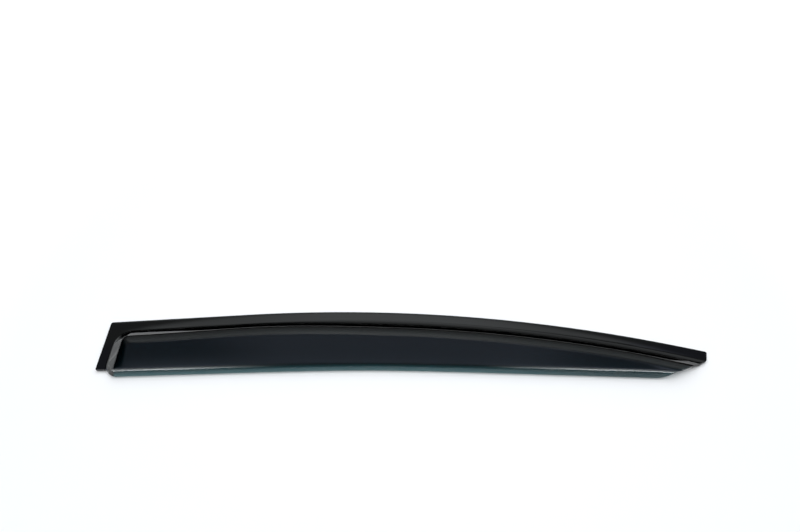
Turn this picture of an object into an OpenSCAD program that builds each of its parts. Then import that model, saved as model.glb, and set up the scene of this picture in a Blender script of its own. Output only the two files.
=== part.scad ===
// Stick-on rain deflector for a rear side window.
// It lies on its mounting flange: X runs along the door, Y points to the roof, Z points away from the door.
// The shield is one moulded sheet: a flat flange along the top edge and down one end, a sloped step,
// a raised face, and a lip that turns down along the open lower edge. The other end tapers to a tail.

/* [Outline] */
// Length of the top edge from the square end to the tail
length = 725; // [640:1:800]
// Radius of the curved run of the top edge
top_radius = 1720; // [1500:10:2400]
// Distance from the square end to the highest point of the top edge
crown_in = 285; // [255:1:315]
// Length of the straight run of the top edge at the square end
straight_run = 170; // [120:1:220]
// Depth from the highest point of the top edge down to the lower edge
depth = 82; // [74:0.5:92]
// Distance from the square end to the highest point of the lower edge
low_crown_in = 315; // [270:1:360]
// Fall of the lower edge on either side of its highest point, as a slope
low_fall = 0.037; // [0.02:0.001:0.05]
// Half width of the soft bend at the highest point of the lower edge
low_bend = 80; // [50:1:110]
// Angle by which the square end leans outwards, in degrees
end_lean = 2.5; // [0:0.1:4]
// Length of the square end, measured down the mounting flange
end_length = 66.5; // [60:0.5:69]
// Width of the foot of the flange at the lower corner of the square end
notch_in = 13; // [11:0.1:15]
// Length of the short cut across the tip of the tail
tail_cut = 13; // [12.5:0.1:17]
// Angle of the long slanting cut under the tail, in degrees
tail_angle = 24; // [20:0.1:27]
// Radius of the small outer corners of the flange
edge_corner = 2.5; // [1:0.1:4]
// Distance from the square end up to which the rows of the sheet run along that end
square_in = 60; // [40:5:80]
// Distance over which the rows then turn square to the top edge
square_over = 80; // [60:5:120]

/* [Section] */
// Thickness of the sheet
sheet = 3; // [2:0.1:3.4]
// Flat width of the flange along the straight run of the top edge
top_flange = 12.9; // [11:0.1:15]
// Flat width of the flange along the rest of the top edge
long_flange = 11.8; // [11:0.1:14]
// Flat width of the flange down the square end
end_flange = 10.4; // [9:0.1:12]
// Width of the slight upturn along the flange's inner side, on the straight run and the square end
end_upturn = 1; // [0.5:0.1:2]
// Width of that upturn along the rest of the top edge
long_upturn = 5.2; // [3:0.1:6]
// Slope at the end of the upturn, in degrees
upturn_angle = 9; // [5:0.5:12]
// Distance past the straight run over which the flange and its upturn change
widen_over = 170; // [120:5:220]
// Height of the raised face over the flange, at the crest of the step
rise = 8; // [7:0.1:10]
// Slope of the step at the square end, in degrees
end_step_angle = 34; // [30:0.5:37]
// Slope of the step along the rest of the top edge, in degrees
step_angle = 39.5; // [37:0.5:43]
// Distance from the square end to the place where the step begins to steepen
steepen_in = 40; // [20:5:80]
// Distance over which the step steepens
steepen_over = 140; // [100:5:200]
// Radius of the hollow at the foot of the step
foot_radius = 4; // [2:0.1:5]
// Radius of the crest of the step
crest_radius = 4; // [3.6:0.1:5]
// Radius of the rounded corner between the top step and the end step, in plan
step_corner = 20; // [17:0.5:24]
// Width of the shoulder between the crest and the face
shoulder = 10.7; // [8:0.1:13]
// Slope of the shoulder where it leaves the crest, in degrees
shoulder_angle = 8.5; // [5:0.1:11]
// Slope of the face where it leaves the shoulder, in degrees
face_angle = 1.5; // [0:0.1:2.5]
// Radius of the slight bulge of the face
face_radius = 1000; // [700:10:2000]
// Radius of the bend above the lip
lip_bend = 5; // [4:0.1:6]
// Slope of the lip, in degrees
lip_angle = 64; // [55:0.5:68]
// Length of the straight part of the lip
lip_length = 5.7; // [4:0.1:6.5]
// Depth of the lip's outer edge below the flange's face, where the raised face is at its full height
lip_reach = 1.2; // [0.4:0.1:1.6]
// Length over which the raised face sinks towards the tail
tail_taper = 97; // [75:1:120]
// Share of the rise that is left at the tip of the tail
tail_share = 0.65; // [0.55:0.01:0.8]

/* [Tape] */
// Thickness of the adhesive foam tape
tape = 1.1; // [0.8:0.1:1.5]
// Width of the tape along the top flange
top_tape_width = 9; // [6:0.1:9.4]
// Width of the tape down the end flange
end_tape_width = 7; // [4:0.1:7.4]
// Distance from the flange's outer edge to the tape
tape_margin = 1.5; // [1:0.1:2]
// Distance from the tip of the tail to the tape
tail_margin = 9; // [6:0.5:20]
// Gap between the two tapes where they meet in the corner
tape_joint = 0.5; // [0.2:0.1:1]

/* [Hidden] */
left_x = -length / 2;
right_x = length / 2;
crown_x = left_x + crown_in;
straight_x = left_x + straight_run;
low_crown_x = left_x + low_crown_in;
flange_z = tape + sheet;
tail_turn = top_turn(right_x);
tail_corner = [right_x - tail_cut * sin(tail_turn), top_y(right_x) - tail_cut * cos(tail_turn)];
end_foot_y = top_y(left_x) - end_length * cos(end_lean);
notch_x = left_x - end_length * sin(end_lean) + notch_in;
notch_slope = 1.2;
notch_round = 7.2;
tail_round = 7;
full_rise = rise + shoulder * tan(shoulder_angle) / 2;
bend_run = lip_bend * sin(lip_angle);
bend_drop = lip_bend * (1 - cos(lip_angle));
lip_run = bend_run + lip_length * cos(lip_angle);
lip_drop = bend_drop + lip_length * sin(lip_angle);

// Larger of two values, with the corner between them rounded over a width k
function soft_max(a, b, k) = max(a, b) + pow(max(k - abs(a - b), 0), 2) / (4 * k);
function smooth(t) = let (c = min(max(t, 0), 1)) c * c * (3 - 2 * c);
function mix(a, b, t) = a + (b - a) * t;

// Top edge: a straight run, then an arc that starts along it. The turn is its downhill angle.
function top_turn(x) = asin((max(x, straight_x) - crown_x) / top_radius);
function top_y(x) = let (a = top_turn(x), past = min(x - straight_x, 0))
    top_radius * (cos(a) - 1) - past * tan(a);
// Distance of a point inwards from the top edge
function from_top(x, y) =
    atan2(x - crown_x, y + top_radius) > top_turn(straight_x)
        ? top_radius - norm([x - crown_x, y + top_radius])
        : let (a = top_turn(straight_x))
            (straight_x - x) * sin(a) + (top_y(straight_x) - y) * cos(a);
// Distance of a point inwards from the square end
function from_end(x, y) = (x - left_x) * cos(end_lean) - (y - top_y(left_x)) * sin(end_lean);

// Lower edge: two nearly straight runs joined by a soft bend, turned up to the flange at the square end
function low_line(x) =
    -depth - low_fall * (sqrt(pow(x - low_crown_x, 2) + low_bend * low_bend) - low_bend);
function lip_line(x) = soft_max(low_line(x), end_foot_y - (x - notch_x) * notch_slope, notch_round);
function tail_line(x) = tail_corner[1] + (x - tail_corner[0]) * tan(tail_angle);
function low_y(x) = soft_max(x < notch_x ? end_foot_y : lip_line(x), tail_line(x), tail_round);
// Distance of a point inwards from the edge of the lip
function from_lip(x, y) = let (m = (lip_line(x + 0.5) - lip_line(x - 0.5))) (y - lip_line(x)) / sqrt(1 + m * m);

// The section changes along the top edge: the flange and its upturn past the straight run, the step before that
function wide_share(x) = smooth((x - straight_x) / widen_over);
function flange_width(x) = mix(top_flange, long_flange, wide_share(x));
function upturn(x) = mix(end_upturn, long_upturn, wide_share(x));
function slant(x) = mix(end_step_angle, step_angle, smooth((x - left_x - steepen_in) / steepen_over));
// Distances from the flat flange to the ends of the upturn, the hollow foot, the slant, the crest and the shoulder
function step_marks(x) =
    let (a = slant(x), foot_end = upturn(x) + foot_radius * (sin(a) - sin(upturn_angle)),
        crest_drop = crest_radius * (cos(shoulder_angle) - cos(a)),
        slant_end = foot_end + (rise - crest_drop - foot_height(x)) / tan(a),
        crest_end = slant_end + crest_radius * (sin(a) - sin(shoulder_angle)))
    [upturn(x), foot_end, slant_end, crest_end, crest_end + shoulder];
// Height reached at the end of the hollow foot
function foot_height(x) = upturn(x) * tan(upturn_angle / 2) + foot_radius * (cos(upturn_angle) - cos(slant(x)));
// Distance of a point inwards from the flat flange, rounded in the corner of the two steps
function from_step(x, y) =
    let (a = step_corner + flange_width(x) - from_top(x, y), b = step_corner + end_flange - from_end(x, y))
    a > 0 && b > 0 ? step_corner - norm([a, b]) : step_corner - max(a, b);
// Height of an arc that starts at a slope and hollows upwards, at a distance d along it
function hollow(d, radius, slope) =
    radius * (cos(slope) - sqrt(1 - pow(sin(slope) + d / radius, 2)));
// Height over the flange: slight upturn, hollow foot, straight slant, round crest and easing shoulder
function step_height(x, d) =
    let (m = step_marks(x), a = slant(x), past = d - m[3])
    d <= 0 ? 0 :
    d < m[0] ? hollow(d, m[0] / sin(upturn_angle), 0) :
    d < m[1] ? m[0] * tan(upturn_angle / 2) + hollow(d - m[0], foot_radius, upturn_angle) :
    d < m[2] ? foot_height(x) + (d - m[1]) * tan(a) :
    d < m[3] ? rise + hollow(past, -crest_radius, shoulder_angle) :
    d < m[4] ? rise + past * tan(shoulder_angle) * (1 - past / (2 * shoulder)) :
    full_rise;
// Fall of the face below the shoulder's end
function face_fall(d) = d < 0 ? 0 : d * tan(face_angle) + d * d / (2 * face_radius);
// Share of the lip's drop at a distance d inwards from its edge: a round bend, then a straight slant
function lip_share(d) = let (e = lip_run - d)
    (e <= 0 ? 0 : e < bend_run ? hollow(e, lip_bend, 0) : bend_drop + (e - bend_run) * tan(lip_angle)) / lip_drop;
function tail_scale(x) = 1 - (1 - tail_share) * smooth((x - right_x + tail_taper) / tail_taper);
// Height of the outer surface over the flange
function height(x, y) =
    tail_scale(x) * step_height(x, from_step(x, y))
        * (1 - face_fall(from_top(x, y) - flange_width(x) - step_marks(x)[4]) / full_rise)
        * (1 - lip_share(from_lip(x, y)) * (1 + lip_reach / full_rise));

// Stations along the top edge, close together over the end step and at the tail
function between(a, b, count) = [for (i = [1 : count]) mix(a, b, i / count)];
function step_rows(m, counts) = concat(between(0, m[0], counts[0]), between(m[0], m[1], counts[1]),
    between(m[1], m[2], counts[2]), between(m[2], m[3], counts[3]), between(m[3], m[4], counts[4]));
end_marks = step_marks(left_x);
end_stations = concat(
    [0, 0.15, 0.5, 1] * edge_corner,
    between(edge_corner, end_flange, 2),
    [for (d = step_rows(end_marks, [1, 2, 5, 2, 4])) end_flange + d]
);
tail_stations = concat([for (i = [11 : -1 : 1]) edge_corner + (tail_taper - edge_corner) * i / 11],
    [1, 0.5, 0.15, 0] * edge_corner);
plain_from = left_x + end_flange + end_marks[4];
plain_to = right_x - tail_taper;
plain_count = 26;
stations = concat(
    [for (d = end_stations) left_x + d],
    [for (i = [1 : plain_count - 1]) mix(plain_from, plain_to, i / plain_count)],
    [plain_to],
    [for (d = tail_stations) right_x - d]
);
// Direction of the section at a station: along the square end, then square to the top edge
function section_turn(x) = mix(end_lean, top_turn(x), smooth((x - left_x - square_in) / square_over));
// Length of the section from the top edge to the lower edge
function section_length(x, s, tries) =
    tries == 0 ? s :
    section_length(x, (top_y(x) - low_y(x - s * sin(section_turn(x)))) / cos(section_turn(x)), tries - 1);
// Set-back of a rounded corner at a distance d from the end
function set_back(d) = d >= edge_corner ? 0 : edge_corner - sqrt(pow(edge_corner, 2) - pow(edge_corner - d, 2));
function corner_back(x) = set_back(min(x - left_x, right_x - x));

// Rows across the sheet: fixed distances from the top edge, an even stretch, fixed distances from the lip's edge
function top_rows(x) = let (w = flange_width(x))
    concat([0, w / 2, w], [for (d = step_rows(step_marks(x), [1, 2, 2, 2, 3])) w + d]);
low_rows = concat([lip_run], between(lip_run, lip_run - bend_run, 4), between(lip_run - bend_run, 0, 2));
even_rows = 3;
least_even = 10;
function rows(x, s) =
    let (last_top = flange_width(x) + step_marks(x)[4], f = min(1, s / (last_top + least_even + lip_run)),
        a = last_top * f, b = s - lip_run * f, inner_even = even_rows + 1)
    concat(top_rows(x) * f, [for (i = [1 : even_rows]) mix(a, b, i / inner_even)], [for (d = low_rows) s - d * f]);

// Plan grid: one row of points for each station
function section_points(x) =
    let (turn = section_turn(x), back = corner_back(x), s = section_length(x, depth, 8), scale = (s - 2 * back) / s)
    [for (d = rows(x, s)) [x - (back + d * scale) * sin(turn), top_y(x) - (back + d * scale) * cos(turn)]];
plan = [for (x = stations) section_points(x)];
flat_plan = [for (line = plan) each line];
low_corner = [min([for (p = flat_plan) p[0]]), min([for (p = flat_plan) p[1]])];
high_corner = [max([for (p = flat_plan) p[0]]), max([for (p = flat_plan) p[1]])];
middle = (low_corner + high_corner) / 2;
step = 0.02;
function outward(p) =
    let (n = [height(p[0] - step, p[1]) - height(p[0] + step, p[1]),
        height(p[0], p[1] - step) - height(p[0], p[1] + step), 2 * step])
    n / norm(n);
outer = [for (p = flat_plan) [p[0], p[1], flange_z + height(p[0], p[1])]];
inner = [for (i = [0 : len(flat_plan) - 1]) outer[i] - sheet * outward(flat_plan[i])];
columns = len(stations);
lines = len(plan[0]);
total = columns * lines;

// The shield is a closed skin: the outer surface, the inner surface one sheet thickness below it, and the rim
module shield() {
    function cell(a, b, c, d) = [[a, b, c], [a, c, d]];
    faces = concat(
        [for (i = [0 : columns - 2], j = [0 : lines - 2])
            each cell(i * lines + j, (i + 1) * lines + j, (i + 1) * lines + j + 1, i * lines + j + 1)],
        [for (i = [0 : columns - 2], j = [0 : lines - 2])
            each cell(total + i * lines + j, total + i * lines + j + 1,
                total + (i + 1) * lines + j + 1, total + (i + 1) * lines + j)],
        [for (i = [0 : columns - 2])
            each cell(i * lines, total + i * lines, total + (i + 1) * lines, (i + 1) * lines)],
        [for (i = [0 : columns - 2])
            each cell((i + 1) * lines + lines - 1, total + (i + 1) * lines + lines - 1,
                total + i * lines + lines - 1, i * lines + lines - 1)],
        [for (j = [0 : lines - 2])
            each cell(j + 1, total + j + 1, total + j, j)],
        [for (j = [0 : lines - 2])
            each cell((columns - 1) * lines + j, total + (columns - 1) * lines + j,
                total + (columns - 1) * lines + j + 1, (columns - 1) * lines + j + 1)]
    );
    color([0.06, 0.075, 0.085])
        translate([-middle[0], -middle[1], 0])
        polyhedron(points = concat(outer, inner), faces = faces, convexity = 6);
}

// The top tape is a strip of one width, cut to follow the top edge
module top_tape() {
    along = concat([left_x + tape_margin, straight_x], between(straight_x, right_x - tail_margin, 36));
    function side(d) = [for (x = along) [x - d * sin(top_turn(x)), top_y(x) - d * cos(top_turn(x))]];
    inner_side = side(tape_margin + top_tape_width);
    color([0.03, 0.03, 0.03])
        translate([-middle[0], -middle[1], 0])
        linear_extrude(tape)
        polygon(concat(side(tape_margin), [for (i = [len(along) - 1 : -1 : 0]) inner_side[i]]));
}

// The end tape runs down the end flange from just under the top tape
module end_tape() {
    across = [cos(end_lean), -sin(end_lean)];
    down = [-sin(end_lean), -cos(end_lean)];
    spread = end_lean - top_turn(straight_x);
    joint = tape_margin + top_tape_width + tape_joint;
    foot = end_length - tape_margin / cos(end_lean);
    function upper(d) = d * across + (joint - d * sin(spread)) / cos(spread) * down;
    function lower(d) = d * across + (foot - d * tan(end_lean)) * down;
    inner_side = tape_margin + end_tape_width;
    color([0.03, 0.03, 0.03])
        translate([left_x - middle[0], top_y(left_x) - middle[1], 0])
        linear_extrude(tape)
        polygon([upper(tape_margin), upper(inner_side), lower(inner_side), lower(tape_margin)]);
}

shield();
top_tape();
end_tape();
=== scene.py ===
from math import radians

import bpy
import numpy as np
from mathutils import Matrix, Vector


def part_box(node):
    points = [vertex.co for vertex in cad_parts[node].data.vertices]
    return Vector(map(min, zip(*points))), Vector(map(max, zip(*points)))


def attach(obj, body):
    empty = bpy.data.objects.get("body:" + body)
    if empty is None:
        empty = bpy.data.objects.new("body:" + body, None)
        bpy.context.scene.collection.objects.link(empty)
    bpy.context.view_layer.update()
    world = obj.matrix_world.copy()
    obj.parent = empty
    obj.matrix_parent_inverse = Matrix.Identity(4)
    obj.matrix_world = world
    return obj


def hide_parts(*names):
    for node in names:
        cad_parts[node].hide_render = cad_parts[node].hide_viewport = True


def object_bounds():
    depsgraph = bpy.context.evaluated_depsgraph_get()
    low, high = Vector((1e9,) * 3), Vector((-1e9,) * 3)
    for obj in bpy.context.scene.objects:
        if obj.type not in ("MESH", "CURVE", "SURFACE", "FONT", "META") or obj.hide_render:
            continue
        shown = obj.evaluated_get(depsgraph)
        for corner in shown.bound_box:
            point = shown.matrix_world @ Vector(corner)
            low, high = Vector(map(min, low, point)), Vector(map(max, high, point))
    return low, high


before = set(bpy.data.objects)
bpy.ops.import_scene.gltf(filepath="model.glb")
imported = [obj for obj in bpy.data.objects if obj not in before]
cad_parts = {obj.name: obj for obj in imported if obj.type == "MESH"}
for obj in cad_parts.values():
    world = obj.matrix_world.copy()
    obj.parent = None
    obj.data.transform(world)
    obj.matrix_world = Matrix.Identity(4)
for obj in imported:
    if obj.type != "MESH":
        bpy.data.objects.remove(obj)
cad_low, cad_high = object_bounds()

# The shield is the whole body of the deflector: one sheet of smoked acrylic, drawn hot over a form. A flat
# flange runs along its top edge and down its square end, a sloped step carries the raised face, and the
# open lower edge turns down in a lip. The flange and the step are black, and the face is clear smoke.
shield_length = 0.725
top_radius = 1.72
crown_in = 0.285
straight_run = 0.17
depth = 0.082
low_crown_in = 0.315
low_fall = 0.037
low_bend = 0.08
end_lean = radians(2.5)
end_length = 0.0665
notch_in = 0.013
notch_slope = 1.2
notch_round = 0.0072
tail_cut = 0.013
tail_angle = radians(24)
tail_round = 0.007
edge_corner = 0.0025
sheet = 0.003
top_flange = 0.0129
long_flange = 0.0118
end_flange = 0.0104
end_upturn = 0.001
long_upturn = 0.0052
upturn_angle = radians(9)
widen_over = 0.17
rise = 0.008
end_step_angle = radians(34)
step_angle = radians(39.5)
steepen_in = 0.04
steepen_over = 0.14
foot_radius = 0.004
crest_radius = 0.004
step_corner = 0.02
shoulder = 0.0107
shoulder_angle = radians(8.5)
face_angle = radians(1.5)
face_radius = 1.0
lip_bend = 0.005
lip_angle = radians(64)
lip_length = 0.0057
lip_reach = 0.0012
tail_taper = 0.097
tail_share = 0.65
rim_round = 0.0006
square_in = 0.06
square_over = 0.08
sheet_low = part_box("shield")[0].z

left_x = -shield_length / 2
right_x = shield_length / 2
crown_x = left_x + crown_in
straight_x = left_x + straight_run
low_crown_x = left_x + low_crown_in
straight_turn = np.arcsin((straight_x - crown_x) / top_radius)
full_rise = rise + shoulder * np.tan(shoulder_angle) / 2
bend_run = lip_bend * np.sin(lip_angle)
bend_drop = lip_bend * (1 - np.cos(lip_angle))
lip_run = bend_run + lip_length * np.cos(lip_angle)
lip_drop = bend_drop + lip_length * np.sin(lip_angle)


def soft_max(a, b, width):
    """The larger of a and b, with the corner between them rounded over a width."""
    return np.maximum(a, b) + np.maximum(width - np.abs(a - b), 0) ** 2 / (4 * width)


def ease(share):
    """Zero below 0, one above 1, and an S curve between them: 3 t squared less 2 t cubed."""
    t = np.clip(share, 0, 1)
    return t * t * (3 - 2 * t)


def top_turn(x):
    """Downhill angle of the top edge: steady along its straight run, then that of an arc about the crown."""
    return np.arcsin((np.maximum(x, straight_x) - crown_x) / top_radius)


def top_y(x):
    """Height of the top edge in plan: an arc of the top radius, with its straight run as a tangent to it."""
    turn = top_turn(x)
    return top_radius * (np.cos(turn) - 1) - np.minimum(x - straight_x, 0) * np.tan(turn)


tail_turn = top_turn(right_x)
tail_x = right_x - tail_cut * np.sin(tail_turn)
tail_y = top_y(right_x) - tail_cut * np.cos(tail_turn)
end_foot_y = top_y(left_x) - end_length * np.cos(end_lean)
notch_x = left_x - end_length * np.sin(end_lean) + notch_in


def lip_line(x):
    """Lower edge of the face: two slopes joined by a soft bend, then a slant up to the square end's foot."""
    low_line = -depth - low_fall * (np.sqrt((x - low_crown_x) ** 2 + low_bend**2) - low_bend)
    return soft_max(low_line, end_foot_y - (x - notch_x) * notch_slope, notch_round)


def low_y(x):
    """Lower edge of the whole sheet: the flange's foot, the lip's line and the slanting cut of the tail."""
    tail_line = tail_y + (x - tail_x) * np.tan(tail_angle)
    return soft_max(np.where(x < notch_x, end_foot_y, lip_line(x)), tail_line, tail_round)


def from_top(x, y):
    """Distance in from the top edge: from its line along the straight run, and from its arc past that."""
    to_arc = top_radius - np.hypot(x - crown_x, y + top_radius)
    to_line = (straight_x - x) * np.sin(straight_turn) + (top_y(straight_x) - y) * np.cos(straight_turn)
    return np.where(np.arctan2(x - crown_x, y + top_radius) > straight_turn, to_arc, to_line)


def section(x):
    """The section's changing sizes: the flange's width, the step's slope, its marks and its foot's height.

    The marks are the distances from the flat flange to the ends of upturn, foot, slant, crest and shoulder.
    Past the straight run the flange and its upturn ease to their long widths. The slope eases to its own
    nearer the square end. The slant fills the height that foot and crest leave: that height over the
    tangent of the slope."""
    wide = ease((x - straight_x) / widen_over)
    flange = top_flange + (long_flange - top_flange) * wide
    upturn = end_upturn + (long_upturn - end_upturn) * wide
    slope = end_step_angle + (step_angle - end_step_angle) * ease((x - left_x - steepen_in) / steepen_over)
    foot_end = upturn + foot_radius * (np.sin(slope) - np.sin(upturn_angle))
    foot_height = upturn * np.tan(upturn_angle / 2) + foot_radius * (np.cos(upturn_angle) - np.cos(slope))
    crest_drop = crest_radius * (np.cos(shoulder_angle) - np.cos(slope))
    slant_end = foot_end + (rise - crest_drop - foot_height) / np.tan(slope)
    crest_end = slant_end + crest_radius * (np.sin(slope) - np.sin(shoulder_angle))
    return flange, slope, (upturn, foot_end, slant_end, crest_end, crest_end + shoulder), foot_height


def from_step(x, y):
    """Distance in from the flat flange, whose inner side follows both edges, with a round corner between."""
    from_end = (x - left_x) * np.cos(end_lean) - (y - top_y(left_x)) * np.sin(end_lean)
    a = step_corner + section(x)[0] - from_top(x, y)
    b = step_corner + end_flange - from_end
    return step_corner - np.where((a > 0) & (b > 0), np.hypot(a, b), np.maximum(a, b))


def hollow(d, radius, slope):
    """Height at a distance d along an arc from a slope: radius times the fall of the slope's cosine."""
    return radius * (np.cos(slope) - np.sqrt(np.maximum(1 - (np.sin(slope) + d / radius) ** 2, 0)))


def step_height(x, d):
    """Height over the flange at a distance d from it: upturn, hollow foot, slant, round crest, shoulder."""
    _, slope, (upturn, foot_end, slant_end, crest_end, shoulder_end), foot_height = section(x)
    past = d - crest_end
    return np.select(
        [d <= 0, d < upturn, d < foot_end, d < slant_end, d < crest_end, d < shoulder_end],
        [
            np.zeros_like(d),
            hollow(d, upturn / np.sin(upturn_angle), 0),
            upturn * np.tan(upturn_angle / 2) + hollow(d - upturn, foot_radius, upturn_angle),
            foot_height + (d - foot_end) * np.tan(slope),
            rise + hollow(past, -crest_radius, shoulder_angle),
            rise + past * np.tan(shoulder_angle) * (1 - past / (2 * shoulder)),
        ],
        full_rise,
    )


def face_fall(d):
    """Fall of the face at a distance d past the shoulder: a steady slope and a slight bulge."""
    past = np.maximum(d, 0)
    return past * np.tan(face_angle) + past * past / (2 * face_radius)


def lip_share(x, y):
    """Share of the lip's drop at a point: none on the face, a round bend, then a straight slant to the edge.

    How far a point is past the start of the bend is measured square to the lower edge."""
    reach = 0.0005
    slope = (lip_line(x + reach) - lip_line(x - reach)) / (2 * reach)
    past = lip_run - (y - lip_line(x)) / np.sqrt(1 + slope * slope)
    slant = bend_drop + (past - bend_run) * np.tan(lip_angle)
    drop = np.select([past <= 0, past < bend_run], [np.zeros_like(past), hollow(past, lip_bend, 0)], slant)
    return drop / lip_drop


def height(x, y):
    """Height of the outer surface over the flange: the step's height times what three falls leave of it.

    They are its sinking towards the tail, the fall of the face and the turn of the lip."""
    flange, _, marks, _ = section(x)
    sinking = 1 - (1 - tail_share) * ease((x - right_x + tail_taper) / tail_taper)
    falling = 1 - face_fall(from_top(x, y) - flange - marks[-1]) / full_rise
    turning_down = 1 - lip_share(x, y) * (1 + lip_reach / full_rise)
    return sinking * step_height(x, from_step(x, y)) * falling * turning_down


def rows_between(marks, counts):
    """Distances from the first mark to the last, with a count of even steps from each mark to the next.

    Each mark is one distance, or a column of them with one for each station."""
    parts = [
        marks[i] + (marks[i + 1] - marks[i]) * np.arange(count) / count
        for i, count in enumerate(counts)
    ]
    return np.concatenate(parts + [marks[-1] + np.zeros_like(parts[0][..., :1])], axis=-1)


def shield_plan():
    """Points of the sheet in plan, a row for each station on the top edge, and how short of the rim each is.

    A section starts at each station and runs straight down to the lower edge: along the square end at
    first, then square to the top edge. Its length is found by repeated guesses. Its rows lie at fixed
    distances from both edges, with even ones between them, all drawn together where the section is short.
    Both ends are set back round the flange's small corners."""
    end_marks = [end_flange + mark for mark in section(left_x)[2]]
    tail_marks = [shield_length - before for before in (tail_taper, edge_corner, rim_round, 0)]
    station_marks = [0, rim_round, edge_corner, end_flange, *end_marks, *tail_marks]
    station_counts = [4, 5, 6, 3, 4, 8, 7, 10, 200, 60, 5, 4]
    upper_counts = [4, 7, 8, 5, 9, 8, 11]
    lower_counts = [14, 6, 4]
    even_rows = 16
    least_even = 0.01
    guesses = 8
    stations = left_x + rows_between(station_marks, station_counts)
    turn = end_lean + (top_turn(stations) - end_lean) * ease((stations - left_x - square_in) / square_over)
    reach = np.full_like(stations, depth)
    for _ in range(guesses):
        reach = (top_y(stations) - low_y(stations - reach * np.sin(turn))) / np.cos(turn)
    flange, _, marks, _ = section(stations[:, None])
    upper_marks = [0 * flange, 0 * flange + rim_round, flange, *[flange + mark for mark in marks]]
    upper = rows_between(upper_marks, upper_counts)
    lower = rows_between([lip_run, lip_run - bend_run, rim_round, 0], lower_counts)
    squeeze = np.minimum(1, reach[:, None] / (upper[:, -1:] + least_even + lip_run))
    upper = upper * squeeze
    lower = reach[:, None] - lower * squeeze
    middle = upper[:, -1:] + (lower[:, :1] - upper[:, -1:]) * np.linspace(0, 1, even_rows + 2)[1:-1]
    rows = np.concatenate([upper, middle, lower], axis=1)
    to_end = np.minimum(stations - left_x, right_x - stations)
    back = edge_corner - np.sqrt(edge_corner**2 - np.maximum(edge_corner - to_end, 0) ** 2)
    along = back[:, None] + rows * (1 - 2 * back / reach)[:, None]
    x = stations[:, None] - along * np.sin(turn)[:, None]
    y = top_y(stations)[:, None] - along * np.cos(turn)[:, None]
    short_of_side = np.maximum(rim_round - np.minimum(rows, reach[:, None] - rows) / squeeze, 0)
    short_of_end = np.maximum(rim_round - to_end, 0)[:, None]
    return x, y, np.minimum(np.hypot(short_of_side, short_of_end), rim_round)


def closed_sheet(columns, rows):
    """Faces of a closed sheet of two skins, each a grid of points: both skins and the rim's four sides."""
    top = np.arange(columns * rows).reshape(columns, rows)
    under = top + columns * rows

    def quads(a, b, c, d):
        return np.stack([a.ravel(), b.ravel(), c.ravel(), d.ravel()], axis=1)

    return np.concatenate([
        quads(top[:-1, :-1], top[:-1, 1:], top[1:, 1:], top[1:, :-1]),
        quads(under[:-1, :-1], under[1:, :-1], under[1:, 1:], under[:-1, 1:]),
        quads(top[:-1, 0], top[1:, 0], under[1:, 0], under[:-1, 0]),
        quads(top[1:, -1], top[:-1, -1], under[:-1, -1], under[1:, -1]),
        quads(top[0, 1:], top[0, :-1], under[0, :-1], under[0, 1:]),
        quads(top[-1, :-1], top[-1, 1:], under[-1, 1:], under[-1, :-1]),
    ])


def make_shield():
    """The outer skin over the plan, and the inner skin one sheet thickness below it along the normal.

    Where a point is short of the rim's rounding r by q, both skins draw in by r less the root of r squared
    less q squared. The sheet is centred in plan and kept inside the CAD box. The mesh carries two
    attributes: how far inward of the crest a point lies, and its share of the lip's drop."""
    x, y, short = shield_plan()
    tiny = 0.00002
    slope_x = (height(x - tiny, y) - height(x + tiny, y)) / (2 * tiny)
    slope_y = (height(x, y - tiny) - height(x, y + tiny)) / (2 * tiny)
    normal = np.stack([slope_x, slope_y, np.ones_like(x)], axis=-1)
    normal /= np.linalg.norm(normal, axis=-1, keepdims=True)
    surface = np.stack([x, y, sheet_low + sheet + height(x, y)], axis=-1)
    drawn = (rim_round - np.sqrt(rim_round**2 - short**2))[..., None]
    outer = surface - normal * drawn
    inner = surface - normal * (sheet - drawn)
    points = np.concatenate([outer.reshape(-1, 3), inner.reshape(-1, 3)])
    middle = (points.min(axis=0) + points.max(axis=0)) / 2
    points -= middle * (1, 1, 0)
    points = np.clip(points, cad_low, cad_high)
    mesh = bpy.data.meshes.new("smoked_shield")
    mesh.from_pydata(points.tolist(), [], closed_sheet(*x.shape).tolist())
    mesh.polygons.foreach_set("use_smooth", np.ones(len(mesh.polygons), bool))
    inward = mesh.attributes.new("inward", "FLOAT", "POINT")
    inward.data.foreach_set("value", np.tile((from_step(x, y) - section(x)[2][3]).ravel(), 2))
    lip = mesh.attributes.new("lip", "FLOAT", "POINT")
    lip.data.foreach_set("value", np.tile(lip_share(x, y).ravel(), 2))
    made = bpy.data.objects.new("smoked_shield", mesh)
    bpy.context.scene.collection.objects.link(made)
    return made


class Value:
    """A socket of a finish. Arithmetic on it adds the Math nodes that work it out."""

    def __init__(self, finish, socket):
        self.finish = finish
        self.socket = socket

    def math(self, operation, *values):
        return self.finish.add("ShaderNodeMath", {"operation": operation}, dict(enumerate(values)))

    def __add__(self, other):
        return self.math("ADD", self, other)

    __radd__ = __add__

    def __sub__(self, other):
        return self.math("SUBTRACT", self, other)

    def __rsub__(self, other):
        return self.math("SUBTRACT", other, self)

    def __mul__(self, other):
        return self.math("MULTIPLY", self, other)

    __rmul__ = __mul__

    def __truediv__(self, other):
        return self.math("DIVIDE", self, other)

    def __abs__(self):
        return self.math("ABSOLUTE", self)

    def over(self, low):
        return self.math("MAXIMUM", self, low)

    def under(self, high):
        return self.math("MINIMUM", self, high)

    def rising(self, start, end):
        """Eases from 0 at start to 1 at end."""
        settings = {"interpolation_type": "SMOOTHSTEP"}
        return self.finish.add("ShaderNodeMapRange", settings, {0: self, 1: start, 2: end})


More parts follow.
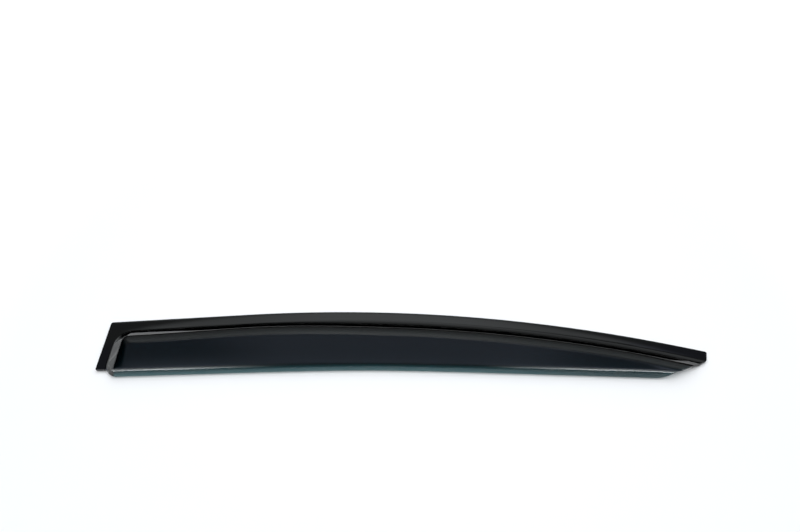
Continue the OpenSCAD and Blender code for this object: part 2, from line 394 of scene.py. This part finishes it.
class Finish:
    """The nodes of one material or of the studio's surroundings."""

    def __init__(self, tree):
        self.tree = tree
        tree.nodes.clear()

    def add(self, kind, settings=None, sockets=None, out=0):
        """Adds a node, makes its settings, then fills or links its sockets. Gives one output, if any."""
        node = self.tree.nodes.new(kind)
        for name, setting in (settings or {}).items():
            setattr(node, name, setting)
        for name, value in (sockets or {}).items():
            if isinstance(value, Value):
                self.tree.links.new(value.socket, node.inputs[name])
            else:
                node.inputs[name].default_value = value
        return Value(self, node.outputs[out]) if node.outputs else node

    def noise(self, scale, detail=2.0, stretch=(1, 1, 1)):
        """Noise with a number of waves to the metre, on the piece's own coordinates."""
        place = self.add("ShaderNodeTexCoord", out="Object")
        fitted = self.add("ShaderNodeMapping", {"vector_type": "POINT"}, {"Vector": place, "Scale": stretch})
        return self.add("ShaderNodeTexNoise", None, {"Vector": fitted, "Scale": scale, "Detail": detail})

    def colours(self, share, first, second):
        """Mixes two colours."""
        return self.add("ShaderNodeMix", {"data_type": "RGBA"}, {0: share, 6: first, 7: second}, out=2)


def new_finish(name):
    """An empty material and its nodes."""
    material = bpy.data.materials.new(name)
    material.use_nodes = True
    return material, Finish(material.node_tree)


def smoked_acrylic():
    """Polished acrylic with smoke all through it, and black behind the flange and the step.

    The smoke is a little uneven on the face, at random. Its tint is deeper on the face and clear at the lip:
    painted shade on the face and painted light at the lip. The lip also has a painted teal glow, less of it
    towards the tail. The polish has slow waves along the part, and fine specks."""
    # The first two tint the face darker than the lip: painted shade, uneven at random between them. The
    # third tints the lip clear: painted light.
    deep_with_shade = (0.29, 0.30, 0.32, 1)
    hazy_with_shade = (0.34, 0.35, 0.37, 1)
    clear = (0.96, 0.98, 0.98, 1)
    black = (0.002, 0.002, 0.002, 1)
    smoke_tint = (0.02, 0.51, 0.56, 1)
    smoke_density = 1000.0
    acrylic_ior = 1.49
    no_light = (0, 0, 0, 1)
    # The colour of a painted teal glow on the lip, and below, how it fades towards the tail.
    painted_teal_glow = (0.025, 0.06, 0.064, 1)
    black_fades = (-0.0012, 0.0004)
    lip_clears_as_light = (0, 0.25)
    lip_glow_fades = (0.08, 0.28)
    lip_glow_lost = 0.65
    cloud_scale = 9
    rough_scale = 60
    least_rough = 0.012
    rough_range = 0.03
    wave_scale = 22
    wave_height = 0.00001
    speck_scale = 900
    speck_height = 0.0000002
    material, finish = new_finish("smoked_acrylic")
    inward = finish.add("ShaderNodeAttribute", {"attribute_name": "inward"}, out="Fac")
    clear_share = inward.rising(*black_fades)
    lip = finish.add("ShaderNodeAttribute", {"attribute_name": "lip"}, out="Fac")
    # The face's tint, darkened as painted shade and uneven at random.
    face_tint_and_shade = finish.colours(finish.noise(cloud_scale), deep_with_shade, hazy_with_shade)
    # Clearing the tint towards the lip paints light into it.
    smoke_and_painted_light = finish.colours(lip.rising(*lip_clears_as_light), face_tint_and_shade, clear)
    place = finish.add("ShaderNodeTexCoord", out="Object")
    along = finish.add("ShaderNodeSeparateXYZ", None, {0: place}, out="X")
    # A painted glow along the lip, which fades towards the tail.
    lip_glow_share = lip.rising(0, 1) * clear_share * (1 - lip_glow_lost * along.rising(*lip_glow_fades))
    painted_lip_glow = finish.colours(lip_glow_share, no_light, painted_teal_glow)
    colour = finish.colours(clear_share, black, smoke_and_painted_light)
    roughness = least_rough + rough_range * finish.noise(rough_scale, detail=4)
    waves = finish.noise(wave_scale, detail=1, stretch=(0.3, 1, 1)) * wave_height
    specks = finish.noise(speck_scale) * speck_height
    bump = finish.add("ShaderNodeBump", None, {"Strength": 1.0, "Distance": 1.0, "Height": waves + specks})
    shader = finish.add("ShaderNodeBsdfPrincipled", None, {
        "Base Color": colour,
        "Roughness": roughness,
        "IOR": acrylic_ior,
        "Transmission Weight": 1.0,
        "Emission Color": painted_lip_glow,
        "Emission Strength": 1.0,
        "Normal": bump,
    })
    smoke = finish.add("ShaderNodeVolumeAbsorption", None, {"Color": smoke_tint, "Density": smoke_density})
    finish.add("ShaderNodeOutputMaterial", None, {"Surface": shader, "Volume": smoke})
    return material


shield = make_shield()
shield.data.materials.append(smoked_acrylic())
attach(shield, "root")
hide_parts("shield")

# The two tapes are strips of closed-cell acrylic foam, stuck under the flange at the works.
# They are matt black, with fine open pores on their cut sides and faces. They keep the CAD solids.


def foam_tape():
    """Matt black foam: fine round pores, and a slight unevenness of colour."""
    dark = (0.011, 0.011, 0.012, 1)
    worn = (0.024, 0.024, 0.025, 1)
    pores_per_metre = 2200
    pore_depth = 0.0001
    pore_strength = 0.6
    shade_scale = 140
    rough_scale = 500
    least_rough = 0.78
    rough_range = 0.16
    material, finish = new_finish("foam_tape")
    place = finish.add("ShaderNodeTexCoord", out="Object")
    pores = finish.add("ShaderNodeTexVoronoi", None, {"Vector": place, "Scale": pores_per_metre})
    depths = {"Strength": pore_strength, "Distance": pore_depth, "Height": pores}
    bump = finish.add("ShaderNodeBump", None, depths)
    shader = finish.add("ShaderNodeBsdfPrincipled", None, {
        "Base Color": finish.colours(finish.noise(shade_scale, detail=4), dark, worn),
        "Roughness": least_rough + rough_range * finish.noise(rough_scale),
        "Normal": bump,
    })
    finish.add("ShaderNodeOutputMaterial", None, {"Surface": shader})
    return material


tape_material = foam_tape()
for tape_name in ("top_tape", "end_tape"):
    tape_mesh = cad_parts[tape_name].data
    tape_mesh.materials.clear()
    tape_mesh.materials.append(tape_material)

# The table is a plain white sheet under the part. It takes the part's shadow, shows white all round it,
# and lets a camera under it see through, so that the underside can be looked at.


def white_table():
    """A white diffuse sheet, clear from below. Far from the part it shines to the eye and fades to white."""
    paper_white = (0.9, 0.9, 0.9, 1)
    no_light = (0, 0, 0, 1)
    full_light = (1, 1, 1, 1)
    shines_over = (0.45, 1.1)
    material, finish = new_finish("white_table")
    looked_at = finish.add("ShaderNodeLightPath", out="Is Camera Ray")
    looked_at += finish.add("ShaderNodeLightPath", out="Is Glossy Ray")
    looked_at += finish.add("ShaderNodeLightPath", out="Is Transmission Ray")
    place = finish.add("ShaderNodeTexCoord", out="Object")
    distance = finish.add("ShaderNodeVectorMath", {"operation": "LENGTH"}, {0: place}, out="Value")
    shine = looked_at.under(1.0) * distance.rising(*shines_over)
    shader = finish.add("ShaderNodeBsdfPrincipled", None, {
        "Base Color": paper_white,
        "Roughness": 1.0,
        "Specular IOR Level": 0.0,
        "Emission Color": finish.colours(shine, no_light, full_light),
        "Emission Strength": 1.0,
    })
    behind = finish.add("ShaderNodeNewGeometry", out="Backfacing")
    clear = finish.add("ShaderNodeBsdfTransparent")
    seen = finish.add("ShaderNodeMixShader", None, {0: behind, 1: shader, 2: clear})
    finish.add("ShaderNodeOutputMaterial", None, {"Surface": seen})
    return material


table_half = 8.0
table_low = -0.0002
corners = np.array([(-1, -1), (1, -1), (1, 1), (-1, 1)]) * table_half
table_mesh = bpy.data.meshes.new("table")
table_mesh.from_pydata([(x, y, table_low) for x, y in corners.tolist()], [], [(0, 1, 2, 3)])
table = bpy.data.objects.new("table", table_mesh)
bpy.context.scene.collection.objects.link(table)
table_mesh.materials.append(white_table())

# The studio is dim. A pale wall and a window behind the part show in the flange and the shoulder, and two
# lights in front of it draw the bright line along the lip. Two wide panels, which the gloss doesn't show,
# light the table and lay the soft shadow in front of the lip.


def surroundings():
    """Light from each direction, by its climb over the way back, its way aside and its lean to the front.

    Behind the part, a wall grows brighter from its sill at 38 degrees up to a band of window at 57 to 60,
    which bows up towards both sides. Both end 36 degrees to the left. A faint light lies on everything
    above the sill, with a ceiling over the middle of the window, and goes further left. The room in front
    is dim. Gloss alone sees more: a light to either side that grows from overhead forwards and ends 62
    degrees from upright, a haze over both and between them, and a light at the left."""
    sill = (0.74, 0.86)
    wall_light = 0.15
    wall_gain = 0.45
    wall_middle_gain = 0.3
    wall_brightens = (0.9, 1.5)
    wall_ends = (1.49, 1.55)
    middle_width = (0.1, 0.5)
    band_bow = 0.25
    band_slant = 0.07
    band_starts = (1.525, 1.545)
    band_ends = (1.65, 1.75)
    band_light = 0.72
    band_middle_gain = 0.38
    left_end = (0.68, 0.78)
    ceiling_starts = (1.66, 1.74)
    ceiling_width = (0.35, 0.7)
    ceiling_light = 0.27
    faint_light = 0.22
    faint_left_end = (0.95, 1.15)
    front_light = 0.13
    least_light = 0.01
    horizon = (-0.1, 0.1)
    floor_fades = (-0.1, 0)
    turns_back = (0.0, 0.1)
    least_way = 0.02
    glow_starts = (-0.5, -0.05)
    glow_grows = (-0.05, 0.6)
    glow_gain = 2
    lights_start = (0.65, 0.85)
    lights_gain = 6
    lights_end = (1.6, 2.2)
    lights_middle = -0.03
    lights_apart = (0.1, 0.26)
    haze_light = 0.1
    haze_side_gain = 0.2
    haze_starts = (-0.46, -0.36)
    end_light = 1.25
    end_light_starts = (0.62, 0.76)
    ceiling_tint = (0.74, 0.8, 1, 1)
    room_tint = (0.93, 0.98, 1, 1)
    white = (1, 1, 1, 1)
    world = bpy.data.worlds.new("studio")
    bpy.context.scene.world = world
    world.use_nodes = True
    finish = Finish(world.node_tree)
    ray = finish.add("ShaderNodeTexCoord", out="Generated")
    across, back, up = (finish.add("ShaderNodeSeparateXYZ", None, {0: ray}, out=name) for name in "XYZ")
    behind = back.over(least_way)
    climb = up / behind
    aside = across / behind
    middle = 1 - abs(aside).rising(*middle_width)
    above_sill = climb.rising(*sill)
    wall_shade = wall_light + (wall_gain + wall_middle_gain * middle) * climb.rising(*wall_brightens)
    wall = above_sill * wall_shade * (1 - climb.rising(*wall_ends))
    bowed = climb - band_bow * aside * aside - band_slant * aside
    band_shade = band_light + band_middle_gain * middle
    band = bowed.rising(*band_starts) * (1 - bowed.rising(*band_ends)) * band_shade
    beyond_end = (0 - aside).rising(*left_end)
    above_top = climb.rising(*ceiling_starts)
    ceiling = ceiling_light * above_top * (1 - abs(aside).rising(*ceiling_width)) + faint_light * above_sill
    within_side = 1 - (0 - aside).rising(*faint_left_end)
    seen_behind = (1 - beyond_end) * (wall + band) + ceiling * within_side
    facing = back.rising(*turns_back)
    room = facing * seen_behind + (1 - facing) * front_light * up.rising(*horizon) + least_light
    lean = (0 - back) / up.over(least_way)
    glow = lean.rising(*glow_starts) + glow_gain * lean.rising(*glow_grows)
    glow += lights_gain * lean.rising(*lights_start)
    to_side = abs(across - lights_middle).rising(*lights_apart)
    side_glow = to_side * glow * (1 - lean.rising(*lights_end))
    haze = (haze_light + haze_side_gain * to_side) * lean.rising(*haze_starts)
    end_glow = end_light * (0 - across).rising(*end_light_starts) * up.rising(*floor_fades)
    gloss = finish.add("ShaderNodeLightPath", out="Is Glossy Ray")
    light = room + gloss * (side_glow + haze + end_glow)
    seen = finish.add("ShaderNodeLightPath", out="Is Camera Ray")
    through = finish.add("ShaderNodeLightPath", out="Is Transmission Ray")
    open_to_eye = seen + through
    room_colour = finish.colours(facing * above_top, room_tint, ceiling_tint)
    back_light = finish.add("ShaderNodeBackground", None, {
        "Color": finish.colours(open_to_eye, room_colour, white),
        "Strength": light + open_to_eye * (1 - light),
    })
    finish.add("ShaderNodeOutputWorld", None, {"Surface": back_light})


def hidden_panel(name, place, size, power):
    """A rectangular lamp turned to face the part, which lights the matt things and shows in nothing."""
    lamp = bpy.data.lights.new(name, "AREA")
    lamp.shape = "RECTANGLE"
    lamp.size, lamp.size_y = size
    lamp.energy = power
    lamp.color = (0.96, 0.98, 1)
    panel = bpy.data.objects.new(name, lamp)
    panel.location = place
    x, y, z = place
    panel.rotation_euler = (np.arctan2(np.hypot(x, y), z), 0, np.arctan2(x, -y))
    panel.visible_glossy = False
    panel.visible_transmission = False
    bpy.context.scene.collection.objects.link(panel)


surroundings()
hidden_panel("back_panel", place=(0, 1.6, 1.2), size=(3.0, 1.8), power=20.5)
hidden_panel("top_panel", place=(0, -0.3, 1.8), size=(3.0, 2.4), power=45.5)

# The camera stands over the table in front of the part and looks down at it. It clips from very near,
# because it stands less than a metre away.
camera_place = (-0.004, -0.4273, 0.7273)
camera_pitch = radians(53)
camera_data = bpy.data.cameras.new("camera")
camera_data.lens = 31.05
camera_data.sensor_width = 36
camera_data.clip_start = 0.01
camera = bpy.data.objects.new("camera", camera_data)
camera.location = camera_place
camera.rotation_euler = (radians(90) - camera_pitch, 0, 0)
bpy.context.scene.collection.objects.link(camera)
bpy.context.scene.camera = camera
bpy.context.scene.view_settings.view_transform = "Standard"
